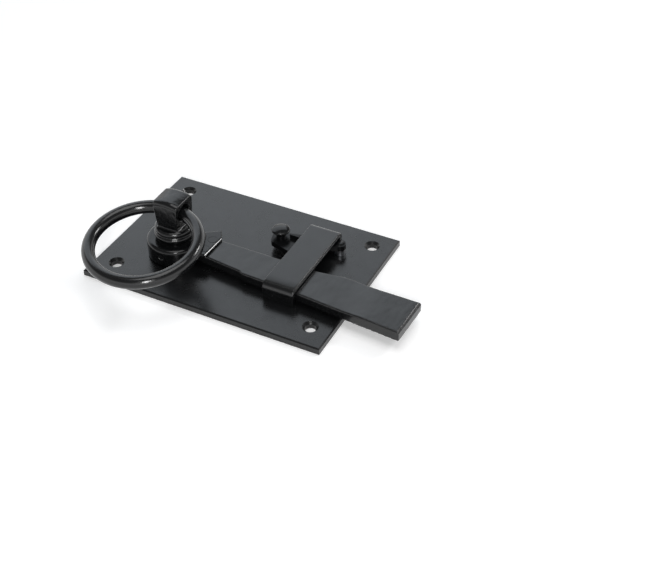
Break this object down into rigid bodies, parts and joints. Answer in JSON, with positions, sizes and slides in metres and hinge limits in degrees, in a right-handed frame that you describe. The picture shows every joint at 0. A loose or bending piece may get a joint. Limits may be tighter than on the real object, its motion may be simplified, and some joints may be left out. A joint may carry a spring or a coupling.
{
  "type": "rim latch",
  "caption": "Surface-mounted ring-handle latch: backplate, lifting latch bar under a staple, drop ring on a pivoting knuckle, and a small locking lever with a knob.",
  "frame": {"origin": "middle of the backplate, on its back face", "axes": "+X from the hub to the bar's nose, +Y up on the door, +Z out of the backplate to the user"},
  "size_m": [0.1892, 0.1308, 0.0431],
  "materials": {
    "plate_black_coat": "satin powder coat",
    "staple_black_coat": "satin powder coat",
    "bar_black_coat": "satin powder coat",
    "hub_black_coat": "satin powder coat",
    "knuckle_black_coat": "satin powder coat",
    "zinc_steel": "zinc plated",
    "plain_steel": "plain",
    "ring_black_coat": "satin powder coat",
    "snib_black_coat": "satin powder coat"
  },
  "bodies": {
    "case": {"backplate": "plate_black_coat", "staple": "staple_black_coat", "hub_thrust_washer": "zinc_steel", "snib_pivot_rivet": "snib_black_coat", "snib_spacer": "zinc_steel", "snib_spring_washer": "plain_steel"},
    "handle": {"hub_arm": "hub_black_coat", "latch_bar": "bar_black_coat", "bar_rivets": "bar_black_coat", "handle_knuckle": "knuckle_black_coat", "knuckle_cross_pin": "hub_black_coat", "hub_back_washer": "zinc_steel", "hub_circlip": "plain_steel"},
    "ring": {"ring_handle": "ring_black_coat"},
    "snib": {"snib_lever": "snib_black_coat", "snib_knob": "snib_black_coat"}
  },
  "joints": [
    {"name": "handle_turn", "type": "hinge", "parent": "case", "child": "handle", "pos_m": [-0.0367, -0.0139, 0], "axis": [0, 0, 1], "range_deg": [0, 5]},
    {"name": "ring_swing", "type": "hinge", "parent": "handle", "child": "ring", "pos_m": [-0.0367, -0.0139, 0.034], "axis": [-1, 0, 0], "range_deg": [-18, 200]},
    {"name": "snib_turn", "type": "hinge", "parent": "case", "child": "snib", "pos_m": [0.0496, 0.0263, 0.009], "axis": [0, 0, 1], "range_deg": [0, 5]}
  ]
}
